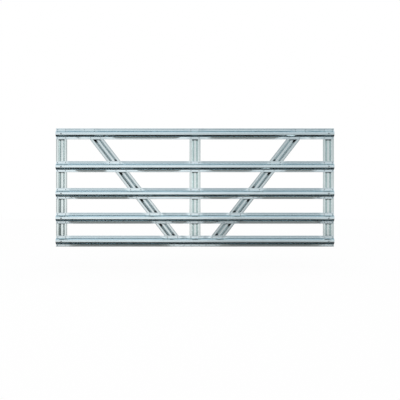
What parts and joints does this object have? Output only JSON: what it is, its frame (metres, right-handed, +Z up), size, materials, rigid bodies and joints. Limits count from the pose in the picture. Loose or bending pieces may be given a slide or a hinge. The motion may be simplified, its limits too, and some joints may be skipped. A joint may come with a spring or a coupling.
{
  "type": "field gate",
  "caption": "Riveted field gate leaf of galvanised sheet steel: ridged rails over hat-channel uprights and V braces, bolt holes at both ends.",
  "frame": {"origin": "middle of the gate's length and depth, at the lower edge of the bottom rail", "axes": "+X along the rails to the viewer's right, +Y from the ridged front to the channelled back, +Z up"},
  "size_m": [3.048, 0.07, 1.297],
  "materials": {
    "galvanised_rail": "hot-dip galvanised sheet, satin with faint spangle",
    "galvanised_channel": "hot-dip galvanised sheet, satin with faint spangle",
    "zinc_rivet": "zinc-plated steel, slightly duller than the sheet"
  },
  "bodies": {
    "root": {"bottom_rail": "galvanised_rail", "fourth_rail": "galvanised_rail", "middle_rail": "galvanised_rail", "second_rail": "galvanised_rail", "top_rail": "galvanised_rail", "left_upright": "galvanised_channel", "left_brace": "galvanised_channel", "centre_upright": "galvanised_channel", "right_brace": "galvanised_channel", "right_upright": "galvanised_channel", "bottom_rail_left_upright_rivets": "zinc_rivet", "bottom_rail_left_brace_rivets": "zinc_rivet", "bottom_rail_centre_upright_rivets": "zinc_rivet", "bottom_rail_right_brace_rivets": "zinc_rivet", "bottom_rail_right_upright_rivets": "zinc_rivet", "fourth_rail_left_upright_rivets": "zinc_rivet", "fourth_rail_left_brace_rivets": "zinc_rivet", "fourth_rail_centre_upright_rivets": "zinc_rivet", "fourth_rail_right_brace_rivets": "zinc_rivet", "fourth_rail_right_upright_rivets": "zinc_rivet", "middle_rail_left_upright_rivets": "zinc_rivet", "middle_rail_left_brace_rivets": "zinc_rivet", "middle_rail_centre_upright_rivets": "zinc_rivet", "middle_rail_right_brace_rivets": "zinc_rivet", "middle_rail_right_upright_rivets": "zinc_rivet", "second_rail_left_upright_rivets": "zinc_rivet", "second_rail_left_brace_rivets": "zinc_rivet", "second_rail_centre_upright_rivets": "zinc_rivet", "second_rail_right_brace_rivets": "zinc_rivet", "second_rail_right_upright_rivets": "zinc_rivet", "top_rail_left_upright_rivets": "zinc_rivet", "top_rail_left_brace_rivets": "zinc_rivet", "top_rail_centre_upright_rivets": "zinc_rivet", "top_rail_right_brace_rivets": "zinc_rivet", "top_rail_right_upright_rivets": "zinc_rivet"}
  },
  "joints": []
}
